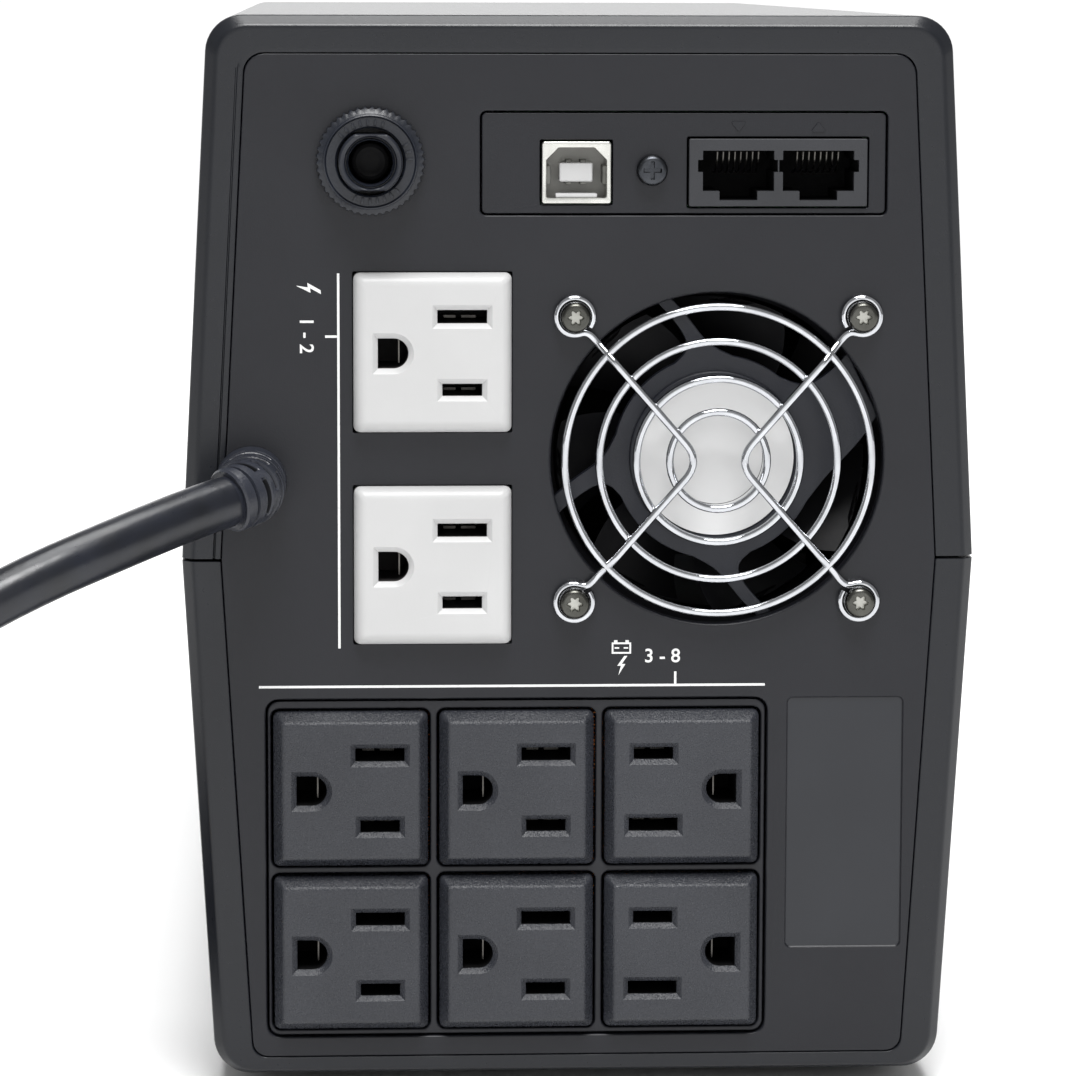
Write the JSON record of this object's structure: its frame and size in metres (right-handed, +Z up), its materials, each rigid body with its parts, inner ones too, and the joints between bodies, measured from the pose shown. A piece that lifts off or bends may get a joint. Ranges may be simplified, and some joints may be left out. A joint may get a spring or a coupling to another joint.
{
  "type": "uninterruptible power supply",
  "caption": "Tower battery backup: charcoal two-shell case, rear panel with white and black sockets, fan with wire guard, reset breaker, data ports, coiled power cord and front display.",
  "frame": {"origin": "centre of the footprint of the case and feet, on the floor", "axes": "+Z up, rear socket panel faces -Y, front bezel faces +Y, +X to the right as the rear panel is looked at"},
  "size_m": [0.3194, 0.4052, 0.1896],
  "materials": {
    "case": "fine satin moulded charcoal plastic",
    "panel": "fine matt charcoal plastic",
    "white_socket": "satin white plastic",
    "black_socket": "grained matt dark grey plastic",
    "black_plastic": "satin black plastic",
    "button": "glossy black plastic",
    "battery": "matt black plastic case",
    "nickel": "nickel plated steel",
    "chrome_wire": "bright chromed wire",
    "foot_rubber": "matt black rubber",
    "cord_jacket": "smooth black cord jacket",
    "blade_brass": "bright brass",
    "circuit_board": "green circuit board laminate",
    "display_window": "smoked glossy window",
    "core_steel": "dark laminated core steel",
    "winding_copper": "enamelled copper winding",
    "heat_sink": "extruded aluminium"
  },
  "bodies": {
    "case": {"upper_shell": "case", "lower_shell": "case", "front_panel": "case", "rear_panel": "panel", "io_plate": "panel", "surge_outlet_1": "white_socket", "surge_outlet_2": "white_socket", "usb_tongue": "white_socket", "backup_outlet_1": "black_socket", "backup_outlet_2": "black_socket", "backup_outlet_3": "black_socket", "backup_outlet_4": "black_socket", "backup_outlet_5": "black_socket", "backup_outlet_6": "black_socket", "outlet_bank_frame": "black_socket", "data_jack": "black_plastic", "breaker_body": "black_plastic", "breaker_nut": "black_plastic", "fan_frame": "black_plastic", "fan_motor": "black_plastic", "lcd_module": "black_plastic", "battery_1": "battery", "battery_2": "battery", "capacitor_1": "battery", "capacitor_2": "battery", "relay_1": "black_plastic", "relay_2": "black_plastic", "inner_shelf": "black_plastic", "usb_shell": "nickel", "io_screw": "nickel", "fan_screw_1": "nickel", "fan_screw_2": "nickel", "fan_screw_3": "nickel", "fan_screw_4": "nickel", "fan_guard": "chrome_wire", "foot_1": "foot_rubber", "foot_2": "foot_rubber", "foot_3": "foot_rubber", "foot_4": "foot_rubber", "cord_tie": "foot_rubber", "strain_relief": "cord_jacket", "power_cord": "cord_jacket", "cord_coil": "cord_jacket", "plug_body": "cord_jacket", "plug_blade_line": "blade_brass", "plug_blade_neutral": "blade_brass", "plug_ground_pin": "blade_brass", "main_board": "circuit_board", "io_board": "circuit_board", "display_board": "circuit_board", "display_window": "display_window", "transformer_core": "core_steel", "transformer_winding": "winding_copper", "heat_sink": "heat_sink"},
    "fan_rotor": {"fan_impeller": "black_plastic"},
    "reset_button": {"breaker_button": "black_plastic"},
    "power_key": {"power_button": "button"},
    "select_key": {"select_button": "button"},
    "battery_cover": {"battery_door": "case"}
  },
  "joints": [
    {"name": "fan_spin", "type": "hinge", "parent": "case", "child": "fan_rotor", "pos_m": [0.024, -0.158, 0.1127], "axis": [0, -1, 0], "continuous": true},
    {"name": "reset_button_slide", "type": "slide", "parent": "case", "child": "reset_button", "axis": [0, -1, 0], "range_m": [0, 0.0045]},
    {"name": "power_key_press", "type": "slide", "parent": "case", "child": "power_key", "axis": [0, -1, 0], "range_m": [0, 0.0015], "stiffness_N_per_m": 400},
    {"name": "select_key_press", "type": "slide", "parent": "case", "child": "select_key", "axis": [0, -1, 0], "range_m": [0, 0.0015], "stiffness_N_per_m": 400},
    {"name": "battery_cover_pull", "type": "slide", "parent": "case", "child": "battery_cover", "axis": [0, 1, 0], "range_m": [0, 0.03]}
  ]
}
